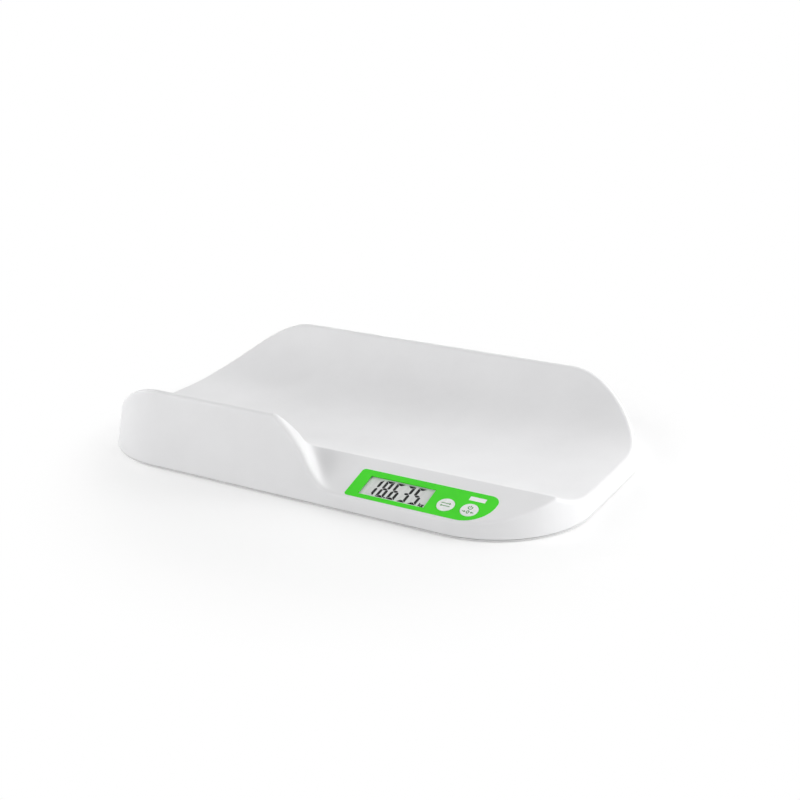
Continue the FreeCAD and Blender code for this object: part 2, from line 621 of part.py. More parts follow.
def cell_clamp(x, y):
    """Plastic frame over a load cell, open towards the middle where the lead comes out."""
    z0 = CELL_BOTTOM + CELL_THICKNESS
    clamp = box(x, y, z0, CLAMP_SIZE[0], 12.0, CLAMP_THICKNESS)
    clamp = clamp.fuse(box(x, y, z0, CLAMP_SIZE[1], CLAMP_SIZE[1], CLAMP_THICKNESS))
    clamp = clamp.cut(box(x, y, z0 - 1.0, CLAMP_WINDOW[0], CLAMP_WINDOW[1], CLAMP_THICKNESS + 2.0))
    notch_x = x + inward(x) * CLAMP_SIZE[0] / 2
    lead_y = y + LEAD_NOTCH * math.copysign(1.0, -y)
    clamp = clamp.cut(box(notch_x, lead_y, z0 - 1.0, CLAMP_SIZE[0] / 2, 3.4, CLAMP_THICKNESS + 2.0))
    for side in (-1, 1):
        clamp = clamp.cut(cylinder(x + side * CLAMP_SCREW_OFFSET, y, z0 - 1.0, z0 + 4.0, 2.3))
    return clamp.removeSplitter()


def clamp_screws():
    """Two screws for each load cell's clamp."""
    z0 = CELL_BOTTOM + CELL_THICKNESS + CLAMP_THICKNESS
    screws = []
    for x, y in FOOT_PLACES.values():
        for side in (-1, 1):
            screw_x = x + side * CLAMP_SCREW_OFFSET
            head = cylinder(screw_x, y, z0, z0 + 1.3, 4.0)
            shank = cylinder(screw_x, y, BASE_TOP + 0.4, z0, 2.0)
            slot = box(screw_x, y, z0 + 0.7, 2.4, 0.6, 0.6)
            screws.append(head.fuse(shank).removeSplitter().cut(slot))
    return Part.makeCompound(screws)


def strain_gauges():
    """Film gauges on the fixed side of each cell, at the root of its tongue."""
    size_x, size_y, thickness = GAUGE_SIZE
    gauges = []
    for x, y in FOOT_PLACES.values():
        gauge_y = y + LEAD_NOTCH * math.copysign(1.0, -y)
        gauges.append(box(x + inward(x) * GAUGE_OFFSET, gauge_y, CELL_BOTTOM + CELL_THICKNESS,
                          size_x, size_y, thickness))
    return Part.makeCompound(gauges)


def foot_cup(x, y):
    """Foot: a shallow cup with a post up to the cell's tongue."""
    cup = cylinder(x, y, CUP_BOTTOM, CUP_TOP, CUP_DIAMETER)
    rim = [edge for edge in cup.Edges if edge.BoundBox.ZMax < CUP_BOTTOM + 0.01]
    cup = cup.makeFillet(0.6, rim)
    cup = cup.fuse(cylinder(x, y, CUP_TOP, CELL_BOTTOM, CUP_POST))
    for turn in range(4):
        web = box(CUP_POST / 2 + 3.0, 0, CUP_TOP - 0.5, 8.0, 1.6, 3.0)
        web.Placement = Placement(Vector(x, y, 0), Rotation(UP, 90.0 * turn + 45.0))
        cup = cup.fuse(web)
    return cup.cut(cylinder(x, y, CUP_BOTTOM - 1.0, PAD_THICKNESS, PAD_DIAMETER)).removeSplitter()


def foot_pad(x, y):
    """Soft disc under a foot, with three grooves and a rounded edge."""
    pad = cylinder(x, y, 0.0, PAD_THICKNESS, PAD_DIAMETER)
    rim = [edge for edge in pad.Edges if edge.BoundBox.ZMax < 0.01]
    pad = pad.makeFillet(0.5, rim)
    for diameter in (10.0, 18.0, 26.0):
        ring = cylinder(x, y, 0.0, 0.5, diameter).cut(cylinder(x, y, 0.0, 0.5, diameter - 1.6))
        pad = pad.cut(ring)
    return pad


def battery_door():
    """Door under the bay: plate, hinge knuckle with two pins, latch tab and grip ridges."""
    x, y = BAY_CENTRE
    axis_y, axis_z = hinge_axis()
    front = y - BAY_SIZE[1] / 2 + DOOR_GAP
    width = BAY_SIZE[0] - 2 * DOOR_GAP
    thickness = DOOR_TOP - DOOR_BOTTOM
    door = box(x, (front + axis_y) / 2, DOOR_BOTTOM, width, axis_y - front, thickness)
    ear_reach = BAY_SIZE[0] / 2 - HINGE_INSET
    knuckle_half = ear_reach - HINGE_EAR - DOOR_GAP
    knuckle = Part.makeCylinder(KNUCKLE_RADIUS, 2 * knuckle_half,
                                Vector(x - knuckle_half, axis_y, axis_z), Vector(1, 0, 0))
    pins = Part.makeCylinder(HINGE_PIN_RADIUS, 2 * ear_reach, Vector(x - ear_reach, axis_y, axis_z),
                             Vector(1, 0, 0))
    for side in (-1, 1):
        notch_x = x + side * (ear_reach - HINGE_EAR / 2)
        notch_width = HINGE_EAR + 2 * DOOR_GAP
        door = door.cut(box(notch_x, axis_y, DOOR_BOTTOM - 1.0, notch_width, 6.0, thickness + 2.0))
    door = door.fuse(knuckle).fuse(pins)
    tab_x, tab_y, tab_z = LATCH_SIZE
    door = door.fuse(box(x, front - tab_y / 2 + 0.2, DOOR_BOTTOM, tab_x, tab_y, tab_z))
    for row in range(4):
        groove_y = front + 6.0 + 2.4 * row
        door = door.cut(box(x, groove_y, DOOR_BOTTOM - 0.5, 20.0, 1.0, 1.0))
    return door.removeSplitter()


def battery_rows():
    """Each battery's y, and the side (-1 left, 1 right) on which its spring stands."""
    rows = []
    for index in range(4):
        y = BAY_CENTRE[1] + BATTERY_SHIFT + (index - 1.5) * BATTERY_PITCH
        rows.append((y, -1 if index % 2 == 0 else 1))
    return rows


def battery(y, spring_side):
    """AAA cell, pressed by its spring against the plate on the other side."""
    wall_x = BAY_CENTRE[0] - spring_side * (BAY_SIZE[0] / 2 - CONTACT_THICKNESS)
    nub_diameter, nub_length = BATTERY_NUB
    towards_spring = Vector(spring_side, 0, 0)
    nub = Part.makeCylinder(nub_diameter / 2, nub_length, Vector(wall_x, y, BATTERY_AXIS), towards_spring)
    can_start = Vector(wall_x + spring_side * nub_length, y, BATTERY_AXIS)
    can = Part.makeCylinder(BATTERY_DIAMETER / 2, BATTERY_LENGTH - nub_length, can_start, towards_spring)
    can = can.makeFillet(0.5, [edge for edge in can.Edges if edge.Closed and edge.Length > BATTERY_DIAMETER])
    return can.fuse(nub).removeSplitter()


def contact_springs():
    """One coil spring behind each battery."""
    free = BAY_SIZE[0] - BATTERY_LENGTH - 2 * CONTACT_THICKNESS - SPRING_WIRE
    steps = SPRING_TURNS * SPRING_CORNERS
    corner_radius = SPRING_RADIUS / math.cos(math.pi / SPRING_CORNERS)
    points = []
    for step in range(steps + 1):
        turn = 2 * math.pi * step / SPRING_CORNERS
        x, y = corner_radius * math.cos(turn), corner_radius * math.sin(turn)
        points.append(Vector(x, y, free * step / steps))
    coil = round_tube(tube_path(points)[0], SPRING_WIRE / 2)
    springs = []
    for y, side in battery_rows():
        spring = coil.copy()
        start_x = BAY_CENTRE[0] + side * (BAY_SIZE[0] / 2 - CONTACT_THICKNESS - SPRING_WIRE / 2)
        lying = Rotation(Vector(0, 1, 0), -90.0 * side)
        spring.Placement = Placement(Vector(start_x, y, BATTERY_AXIS), lying)
        springs.append(spring)
    return Part.makeCompound(springs)


def contact_plates():
    """Contact plates on both end walls of the bay."""
    plates = []
    for y, _ in battery_rows():
        for side in (-1, 1):
            centre_x = BAY_CENTRE[0] + side * (BAY_SIZE[0] - CONTACT_THICKNESS) / 2
            plates.append(box(centre_x, y, BATTERY_AXIS - CONTACT_SIZE / 2, CONTACT_THICKNESS,
                              CONTACT_SIZE, CONTACT_SIZE))
    return Part.makeCompound(plates)


def tube_path(points):
    """Straight runs joined by tangent arcs, each as large as its two runs allow."""
    edges = []
    start = points[0]
    radii = []
    for before, corner, after in zip(points, points[1:], points[2:]):
        back = before - corner
        ahead = after - corner
        reach = ARC_SHARE * min(back.Length, ahead.Length)
        back.normalize()
        ahead.normalize()
        first = corner + back * reach
        last = corner + ahead * reach
        half_turn = (math.pi - back.getAngle(ahead)) / 2
        radius = reach / math.tan(half_turn)
        radii.append(radius)
        middle_way = back + ahead
        middle_way.normalize()
        middle = corner + middle_way * (radius / math.cos(half_turn) - radius)
        edges.append(Part.makeLine(start, first))
        edges.append(Part.Arc(first, middle, last).toShape())
        start = last
    edges.append(Part.makeLine(start, points[-1]))
    return Part.Wire(edges), radii


def lead_route(name):
    """Points of one lead, from its load cell or the battery bay to its socket on the board."""
    lift = LEAD_LEVEL
    middle = [Vector(x, y, lift + rise) for x, y, rise in LEAD_ROUTES[name]]
    if name == "battery":
        start = Vector(BAY_CENTRE[0] + BAY_SIZE[0] / 2 + BAY_WALL, -104.6, lift)
    else:
        x, y = FOOT_PLACES[name]
        start = Vector(x + inward(x) * (GAUGE_OFFSET - 1.0), y + LEAD_NOTCH * math.copysign(1.0, -y), lift)
    entry_v = SOCKET_V + SOCKET_SIZE[1] / 2
    level = BOARD_BACK - SOCKET_SIZE[2] / 2
    ends = [LEDGE.multVec(Vector(SOCKET_X[name], entry_v + away, level)) for away in (10.0, 0.0)]
    return [start] + middle + ends


def round_tube(path, radius):
    """Round tube along a path."""
    first = path.Edges[0]
    direction = first.tangentAt(first.FirstParameter)
    profile = Part.Wire([Part.makeCircle(radius, first.firstVertex(True).Point, direction)])
    return path.makePipeShell([profile], True, True)


def lead(name):
    """Sleeved lead as a round tube along its route."""
    path, radii = tube_path(lead_route(name))
    tube = round_tube(path, LEAD_RADIUS)
    expected = math.pi * LEAD_RADIUS ** 2 * path.Length
    print("lead %s: length %.1f, smallest radius %.1f, volume share %.3f"
          % (name, path.Length, min(radii), tube.Volume / expected))
    return tube


def build_nodes():
    """All nodes by name."""
    nodes = {"tray_shell": tray_shell(), "base_cover": base_cover(), "display_panel": display_panel()}
    nodes.update(display_pieces())
    for name, x in BUTTON_X.items():
        nodes["button_" + name] = button(x)
        nodes["switch_" + name], nodes["plunger_" + name] = switch_pieces(x)
    nodes["control_board"] = control_board()
    nodes["chip_cover"] = chip_cover()
    nodes["quartz_can"] = quartz_can()
    nodes["wire_sockets"] = wire_sockets()
    nodes["board_screws"] = board_screws()
    nodes["case_screws"] = case_screws()
    for name, (x, y) in FOOT_PLACES.items():
        nodes["load_cell_" + name] = load_cell(x, y)
        nodes["cell_tongue_" + name] = cell_tongue(x, y)
        nodes["cell_clamp_" + name] = cell_clamp(x, y)
        nodes["foot_cup_" + name] = foot_cup(x, y)
        nodes["foot_pad_" + name] = foot_pad(x, y)
        nodes["lead_" + name] = lead(name)
    nodes["strain_gauges"] = strain_gauges()
    nodes["clamp_screws"] = clamp_screws()
    nodes["battery_lead"] = lead("battery")
    nodes["battery_door"] = battery_door()
    for index, (y, side) in enumerate(battery_rows()):
        nodes["battery_cell_%d" % (index + 1)] = battery(y, side)
    nodes["contact_springs"] = contact_springs()
    nodes["contact_plates"] = contact_plates()
    return nodes


os.makedirs("parts", exist_ok=True)
for node_name, node_shape in build_nodes().items():
    print("%s: valid %s, solids %d, volume %.0f" % (node_name, node_shape.isValid(), len(node_shape.Solids),
                                                     node_shape.Volume))
    node_shape.exportStep("parts/%s.step" % node_name)
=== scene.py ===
"""Digital baby weighing scale: finishes, display reading, key signs, light and camera.

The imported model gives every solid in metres, with the origin on the floor in the middle of the
plan, X along the cradle, -Y towards the display side and Z up. This script dresses those solids,
adds the reading and the printed key signs, and sets the stage.
"""

import logging
import math
from dataclasses import dataclass
from enum import Enum
from typing import Any, Sequence

import bmesh
import bpy
from bmesh.types import BMesh
from bpy.types import Material, NodeSocket, NodeTree
from mathutils import Euler, Matrix, Vector


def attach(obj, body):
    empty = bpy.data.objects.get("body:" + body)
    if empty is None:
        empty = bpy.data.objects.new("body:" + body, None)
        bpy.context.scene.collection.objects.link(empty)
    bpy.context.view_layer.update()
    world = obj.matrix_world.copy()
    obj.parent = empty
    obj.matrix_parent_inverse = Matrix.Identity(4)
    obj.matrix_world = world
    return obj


MM = 0.001
LOG = logging.getLogger("baby_scale")

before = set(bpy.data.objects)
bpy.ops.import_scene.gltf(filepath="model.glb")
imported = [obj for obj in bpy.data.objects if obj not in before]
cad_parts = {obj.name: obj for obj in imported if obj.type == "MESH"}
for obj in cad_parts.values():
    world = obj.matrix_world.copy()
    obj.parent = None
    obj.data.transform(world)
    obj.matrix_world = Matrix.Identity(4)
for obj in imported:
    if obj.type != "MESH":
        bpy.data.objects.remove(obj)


# ------------------------------------------------------------------------- colour and nodes

WHITE = (1.0, 1.0, 1.0, 1.0)


def linear(hex_colour: str) -> tuple[float, float, float, float]:
    """Turn an sRGB hex colour into linear RGBA, by the standard's own curve.

    Args:
        hex_colour: Six hex digits after a "#".

    Returns:
        The linear colour with an alpha of 1.
    """
    channels = [int(hex_colour[i:i + 2], 16) / 255.0 for i in (1, 3, 5)]
    red, green, blue = [c / 12.92 if c <= 0.04045 else ((c + 0.055) / 1.055) ** 2.4
                        for c in channels]
    return (red, green, blue, 1.0)


def add_node(tree: NodeTree, kind: str, inputs: dict[Any, Any] | None = None,
             **settings: Any) -> bpy.types.Node:
    """Add one node with its settings and links.

    Args:
        tree: Node tree that gets the node.
        kind: Node type, such as "ShaderNodeTexNoise".
        inputs: Input socket, by name or index, to the output socket or value that it takes.
        **settings: Properties set on the node itself.

    Returns:
        The new node.
    """
    node = tree.nodes.new(kind)
    for name, value in settings.items():
        setattr(node, name, value)
    for socket, source in (inputs or {}).items():
        if isinstance(source, NodeSocket):
            tree.links.new(source, node.inputs[socket])
        else:
            node.inputs[socket].default_value = source
    return node


def per_metre(millimetres: float) -> float:
    """Scale of a texture that repeats about every so many millimetres of Object coordinates."""
    return 1.0 / (millimetres * MM)


# ------------------------------------------------------------------------- finishes

# Part of the noise's range over which one colour, or one roughness, turns into the other.
COLOUR_BAND = (0.35, 0.65)
GLOSS_BAND = (0.3, 0.7)
# Size of the patches of uneven gloss, as a share of the mottling's.
GLOSS_PATCH = 0.6
# Layers of finer and finer noise.
COLOUR_DETAIL = 3.0
GLOSS_DETAIL = 4.0
RELIEF_DETAIL = 2.0
# How far light travels in the plastics that scatter it below their surface.
SCATTER_MM = 2.0


@dataclass(frozen=True)
class Finish:
    """A surface with faint mottling, uneven gloss and a fine relief.

    Attributes:
        name: Material name, after what the real one is.
        colour: Main colour, sRGB hex.
        second: Colour of the faint mottling, sRGB hex.
        roughness: Smallest and largest roughness over the surface.
        grain_mm: Size of the relief's grain.
        relief_mm: Height of the relief.
        mottle_mm: Size of the mottling.
        metallic: 1 for metals.
        ior: Index of refraction of what isn't metal.
        transmission: 1 for clear pieces.
        subsurface: Share of light that scatters below the surface.
    """

    name: str
    colour: str
    second: str
    roughness: tuple[float, float] = (0.35, 0.45)
    grain_mm: float = 0.6
    relief_mm: float = 0.01
    mottle_mm: float = 25.0
    metallic: float = 0.0
    ior: float = 1.5
    transmission: float = 0.0
    subsurface: float = 0.0

    def material(self) -> Material:
        """Build the material, or find it where it is already built.

        Returns:
            The material.
        """
        known = bpy.data.materials.get(self.name)
        if known is not None:
            return known
        material = bpy.data.materials.new(self.name)
        material.use_nodes = True
        tree = material.node_tree
        tree.nodes.clear()
        place = add_node(tree, "ShaderNodeTexCoord").outputs["Object"]
        add_node(tree, "ShaderNodeOutputMaterial", {"Surface": self.surface(tree, place)})
        return material

    def surface(self, tree: NodeTree, place: NodeSocket) -> NodeSocket:
        """What the material shows: the shader alone."""
        return self.shader(tree, place)

    def shader(self, tree: NodeTree, place: NodeSocket) -> NodeSocket:
        """Add the Principled shader and what drives it.

        Args:
            tree: Node tree of the material.
            place: Object coordinates.

        Returns:
            The shader's output.
        """
        shader = add_node(tree, "ShaderNodeBsdfPrincipled", {
            "Base Color": self.base_colour(tree, place),
            "Roughness": self.gloss(tree, place),
            "Normal": self.relief(tree, place),
            "Metallic": self.metallic,
            "Transmission Weight": self.transmission,
            "Subsurface Weight": self.subsurface,
            "Subsurface Scale": SCATTER_MM * MM})
        if not self.metallic:
            shader.inputs["IOR"].default_value = self.ior
        return shader.outputs["BSDF"]

    def base_colour(self, tree: NodeTree, place: NodeSocket) -> NodeSocket:
        """Add the main colour with faint clouds of the second one.

        Args:
            tree: Node tree of the material.
            place: Object coordinates.

        Returns:
            The colour's output.
        """
        clouds = add_node(tree, "ShaderNodeTexNoise", {
            "Vector": place, "Scale": per_metre(self.mottle_mm), "Detail": COLOUR_DETAIL})
        ramp = add_node(tree, "ShaderNodeValToRGB", {"Fac": clouds.outputs["Fac"]})
        low, high = ramp.color_ramp.elements
        low.position, high.position = COLOUR_BAND
        low.color, high.color = linear(self.colour), linear(self.second)
        return ramp.outputs["Color"]

    def gloss(self, tree: NodeTree, place: NodeSocket) -> NodeSocket:
        """Add a roughness that wanders between its two limits.

        Args:
            tree: Node tree of the material.
            place: Object coordinates.

        Returns:
            The roughness's output.
        """
        patches = add_node(tree, "ShaderNodeTexNoise", {
            "Vector": place, "Scale": per_metre(self.mottle_mm * GLOSS_PATCH),
            "Detail": GLOSS_DETAIL})
        spread = add_node(tree, "ShaderNodeMapRange", {
            "Value": patches.outputs["Fac"],
            "From Min": GLOSS_BAND[0], "From Max": GLOSS_BAND[1],
            "To Min": self.roughness[0], "To Max": self.roughness[1]})
        return spread.outputs["Result"]

    def relief(self, tree: NodeTree, place: NodeSocket) -> NodeSocket:
        """Add the fine relief of the moulded, rolled or ground surface.

        Args:
            tree: Node tree of the material.
            place: Object coordinates.

        Returns:
            The normal's output.
        """
        grain = add_node(tree, "ShaderNodeTexNoise", {
            "Vector": place, "Scale": per_metre(self.grain_mm), "Detail": RELIEF_DETAIL})
        bump = add_node(tree, "ShaderNodeBump", {
            "Height": grain.outputs["Fac"], "Distance": self.relief_mm * MM})
        return bump.outputs["Normal"]


@dataclass(frozen=True)
class PaneFinish(Finish):
    """A thin clear pane that lets light straight through to what lies behind it."""

    def surface(self, tree: NodeTree, place: NodeSocket) -> NodeSocket:
        """Show the clear shader, but open the way for lamps and for what matte surfaces scatter.

        Args:
            tree: Node tree of the material.
            place: Object coordinates.

        Returns:
            The surface's output.
        """
        path = add_node(tree, "ShaderNodeLightPath")
        open_way = add_node(tree, "ShaderNodeBsdfTransparent").outputs["BSDF"]
        shown = self.shader(tree, place)
        for ray in ("Is Diffuse Ray", "Is Shadow Ray"):
            shown = add_node(tree, "ShaderNodeMixShader", {
                0: path.outputs[ray], 1: shown, 2: open_way}).outputs["Shader"]
        return shown


# ABS moulded against a finely stoned tool: clean white with a satin sheen and a trace of orange
# peel.
SATIN_WHITE_ABS = Finish("satin_white_abs", "#EDEDEE", "#EAEAEB", roughness=(0.44, 0.5),
                         grain_mm=1.6, relief_mm=0.004, mottle_mm=60.0, ior=1.5)
# The same ABS against a spark-eroded tool: a duller white with a fine sandy grain.
TEXTURED_WHITE_ABS = Finish("textured_white_abs", "#E3E3E3", "#E1E1E1", roughness=(0.5, 0.56),
                            grain_mm=0.7, relief_mm=0.03, ior=1.54)
# Plain ABS of the inner parts, a little yellower.
INNER_ABS = Finish("inner_abs", "#E0DFD9", "#D8D7D0", roughness=(0.45, 0.55))
# Polycarbonate film with a velvet face, printed with opaque green ink on its back: an even deep
# colour.
GREEN_PANEL = Finish("back_printed_polycarbonate", "#42E01C", "#3EDB1A", roughness=(0.3, 0.36),
                     grain_mm=2.5, relief_mm=0.002, mottle_mm=30.0, ior=1.35)
# Clear cast acrylic with an anti-reflection coat on both faces: it hardly mirrors the room.
CLEAR_ACRYLIC = PaneFinish("clear_acrylic", "#FFFFFF", "#FDFEFE", roughness=(0.02, 0.03),
                           grain_mm=8.0, relief_mm=0.001, ior=1.18, transmission=1.0)
# Liquid crystal cell before its grey reflector, under a matt polariser: pale grey with a faint
# speckle.
CRYSTAL_CELL = Finish("liquid_crystal_cell", "#E2E3E2", "#DEDFDE", roughness=(0.5, 0.6),
                      grain_mm=0.25, relief_mm=0.002, mottle_mm=1.2, ior=1.3)
# Dark liquid crystal where a segment is switched on.
SEGMENT_ON = Finish("segment_on", "#060607", "#0A0A0B", roughness=(0.6, 0.7), relief_mm=0.001,
                    ior=1.15)
# The faint trace of a segment that is off.
SEGMENT_OFF = Finish("segment_off", "#DBDCDB", "#D8D9D8", roughness=(0.5, 0.6), relief_mm=0.001,
                     ior=1.3)
# Opal white acrylic of the bar window.
OPAL_ACRYLIC = Finish("opal_acrylic", "#FCFBFC", "#F8F7F8", roughness=(0.2, 0.25),
                      relief_mm=0.002, ior=1.49)
# Keycap ABS, polished, whiter than the casing.
KEYCAP_ABS = Finish("keycap_abs", "#F3F4F3", "#F0F1F0", roughness=(0.24, 0.3), grain_mm=1.0,
                    relief_mm=0.003, mottle_mm=15.0, ior=1.54)
# Pad-printed ink on the keycaps.
GREEN_INK = Finish("pad_print_ink", "#3F8A38", "#479441", roughness=(0.4, 0.5), grain_mm=0.3,
                   relief_mm=0.004, mottle_mm=2.0)
# Dark grey rubber of the foot pads, moulded matte.
PAD_RUBBER = Finish("foot_pad_rubber", "#6B6C6E", "#606163", roughness=(0.7, 0.85),
                    grain_mm=0.5, relief_mm=0.03)
# Grey ABS of the foot cups.
FOOT_ABS = Finish("foot_cup_abs", "#BEBFC0", "#B4B5B6", roughness=(0.45, 0.55), relief_mm=0.02)
# Zinc-plated steel: bright grey with faint bluish clouds.
ZINC_STEEL = Finish("zinc_plated_steel", "#B9BABC", "#A9ABAF", roughness=(0.25, 0.4),
                    grain_mm=0.4, relief_mm=0.006, mottle_mm=4.0, metallic=1.0)
# Nickel-plated spring steel, brighter and warmer than zinc.
NICKEL = Finish("nickel_plate", "#C9C4B8", "#BDB8AB", roughness=(0.15, 0.25), grain_mm=0.5,
                relief_mm=0.003, mottle_mm=3.0, metallic=1.0)
# Green solder mask over glass-fibre laminate, with faint clouds where the laminate shows.
SOLDER_MASK = Finish("solder_mask", "#1B5A34", "#236A3E", roughness=(0.3, 0.4), grain_mm=0.8,
                     mottle_mm=6.0)
# Black nylon and moulding resin of the switches and the chip cover.
BLACK_RESIN = Finish("black_resin", "#18191A", "#202122", roughness=(0.4, 0.55))
# Natural nylon of the wire sockets: cream, and a little translucent.
NATURAL_NYLON = Finish("natural_nylon", "#E3D8BC", "#D9CDB0", roughness=(0.4, 0.5),
                       relief_mm=0.008, subsurface=0.1)
# Silicone of the contact strip, speckled by its thin conducting layers.
LAYERED_SILICONE = Finish("layered_silicone", "#C9A1A8", "#8E6E74", roughness=(0.5, 0.6),
                          mottle_mm=0.4)
# Amber polyimide film of the strain gauges.
POLYIMIDE = Finish("polyimide_film", "#B5671E", "#C77A2B", roughness=(0.25, 0.35), mottle_mm=3.0)
# Yellowish epoxy of the lamp.
LAMP_EPOXY = Finish("lamp_epoxy", "#E9E6B8", "#E2DEAA", roughness=(0.1, 0.15), relief_mm=0.002)
# Black PVC sleeve of the leads.
PVC_SLEEVE = Finish("pvc_sleeve", "#1F2022", "#2A2B2D", roughness=(0.4, 0.5), mottle_mm=8.0)
# Shrunk jacket of the batteries, plain blue.
BATTERY_JACKET = Finish("battery_jacket", "#2F4A78", "#2B4470", roughness=(0.25, 0.35),
                        relief_mm=0.004)


class Dress(Enum):
    """Finish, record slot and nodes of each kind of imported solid.

    A node's name that ends with an underscore stands for every node that starts with it.
    """

    CASING = (SATIN_WHITE_ABS, "casing_white", ("tray_shell",))
    BASE = (TEXTURED_WHITE_ABS, "base_white", ("base_cover", "battery_door"))
    PANEL = (GREEN_PANEL, "panel_green", ("display_panel",))
    WINDOW = (CLEAR_ACRYLIC, "window_clear", ("lcd_window",))
    CELL = (CRYSTAL_CELL, "display_grey", ("lcd_glass",))
    HOLDER = (INNER_ABS, "holder_white", ("lcd_holder", "cell_clamp_"))
    STRIP = (LAYERED_SILICONE, "contact_rubber", ("contact_strip",))
    BAR = (OPAL_ACRYLIC, "bar_white", ("indicator_window",))
    KEYS = (KEYCAP_ABS, "button_white", ("button_",))
    SWITCHES = (BLACK_RESIN, "switch_black", ("switch_", "plunger_", "chip_cover"))
    LAMP = (LAMP_EPOXY, "lamp", ("indicator_led",))
    BOARD = (SOLDER_MASK, "board_green", ("control_board",))
    SOCKETS = (NATURAL_NYLON, "socket_cream", ("wire_sockets",))
    STEEL = (ZINC_STEEL, "steel", ("board_screws", "case_screws", "clamp_screws", "quartz_can",
                                   "load_cell_", "cell_tongue_"))
    GAUGES = (POLYIMIDE, "gauge_film", ("strain_gauges",))
    CUPS = (FOOT_ABS, "foot_grey", ("foot_cup_",))
    PADS = (PAD_RUBBER, "pad_rubber", ("foot_pad_",))
    LEADS = (PVC_SLEEVE, "lead_sleeve", ("lead_", "battery_lead"))
    BATTERIES = (BATTERY_JACKET, "battery_jacket", ("battery_cell_",))
    CONTACTS = (NICKEL, "contact_nickel", ("contact_springs", "contact_plates"))

    @property
    def finish(self) -> Finish:
        """The finish itself."""
        return self.value[0]

    @property
    def slot(self) -> str:
        """The record's material slot."""
        return self.value[1]

    def covers(self, node: str) -> bool:
        """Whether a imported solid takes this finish."""
        return any(node == name or (name.endswith("_") and node.startswith(name))
                   for name in self.value[2])


def dress_nodes(nodes: dict[str, bpy.types.Object]) -> None:
    """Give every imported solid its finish.

    Args:
        nodes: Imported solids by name.
    """
    for name, solid in nodes.items():
        kinds = [kind for kind in Dress if kind.covers(name)]
        if len(kinds) != 1:
            raise ValueError(f"{name} has {len(kinds)} finishes")
        solid.data.materials.clear()
        solid.data.materials.append(kinds[0].finish.material())
        LOG.info("%s: %s", name, kinds[0].finish.name)


# ------------------------------------------------------------------------- display ledge


@dataclass(frozen=True)
class Ledge:
    """The sloping plane that carries the display, and its own coordinates in millimetres.

    Attributes:
        front_y: Y of the plane's reference line, in millimetres.
        front_z: Z of that line, in millimetres.
        tilt: Slope of the plane, in degrees.
    """

    front_y: float = -163.5
    front_z: float = 17.0
    tilt: float = 17.5

    def matrix(self, x: float, v: float, w: float, turn: float = 0.0) -> Matrix:
        """Placement of a shape that is drawn flat, in millimetres.

        Args:
            x: Along the ledge.
            v: Up its slope.
            w: Out of its surface.
            turn: Turn about the ledge's normal, in degrees.

        Returns:
            Matrix from millimetres on the flat drawing to metres in place.
        """
        origin = Matrix.Translation(Vector((0.0, self.front_y, self.front_z)))
        slope = Euler((math.radians(self.tilt), 0.0, 0.0)).to_matrix().to_4x4()
        shift = Matrix.Translation(Vector((x, v, w)))
        local = shift @ Matrix.Rotation(math.radians(turn), 4, "Z")
        return Matrix.Scale(MM, 4) @ origin @ slope @ local


LEDGE = Ledge()

# Edges of an added piece that turn less than this, in degrees, are shaded smooth.
SMOOTH_DEGREES = 40.0
FULL_TURN = 360.0
# Steps of a ring's spin, and of each curve in the type.
RING_STEPS = 40
TYPE_STEPS = 3
# How far the type's outline grows outwards, as a share of its size.
TYPE_WEIGHT = 0.045


def finish_piece(name: str, mesh: BMesh, body: str, finish: Finish) -> None:
    """Turn a bmesh that is already in place into a piece that rides on a body.

    Args:
        name: Name of the piece.
        mesh: Mesh in the row frame, in metres. It is freed.
        body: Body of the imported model.
        finish: Finish of the piece.
    """
    bmesh.ops.recalc_face_normals(mesh, faces=mesh.faces[:])
    data = bpy.data.meshes.new(name)
    mesh.to_mesh(data)
    mesh.free()
    data.shade_smooth()
    data.set_sharp_from_angle(angle=math.radians(SMOOTH_DEGREES))
    data.materials.append(finish.material())
    piece = bpy.data.objects.new(name, data)
    bpy.context.scene.collection.objects.link(piece)
    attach(piece, body)
    LOG.info("%s: %d faces, rides on %s", name, len(data.polygons), body)


def add_prism(mesh: BMesh, outline: Sequence[tuple[float, float]], depth: float,
              place: Matrix) -> None:
    """Add a flat plate with the given outline, its back at 0 and its front at depth.

    Args:
        mesh: Mesh that gets the plate.
        outline: Corners in order, in millimetres.
        depth: Thickness in millimetres.
        place: Matrix from the drawing's millimetres to metres in place.
    """
    corners = [mesh.verts.new((x, y, 0.0)) for x, y in outline]
    face = mesh.faces.new(corners)
    grown = bmesh.ops.extrude_face_region(mesh, geom=[face])["geom"]
    front = [item for item in grown if isinstance(item, bmesh.types.BMVert)]
    bmesh.ops.translate(mesh, vec=(0.0, 0.0, depth), verts=front)
    bmesh.ops.transform(mesh, matrix=place, verts=corners + front)


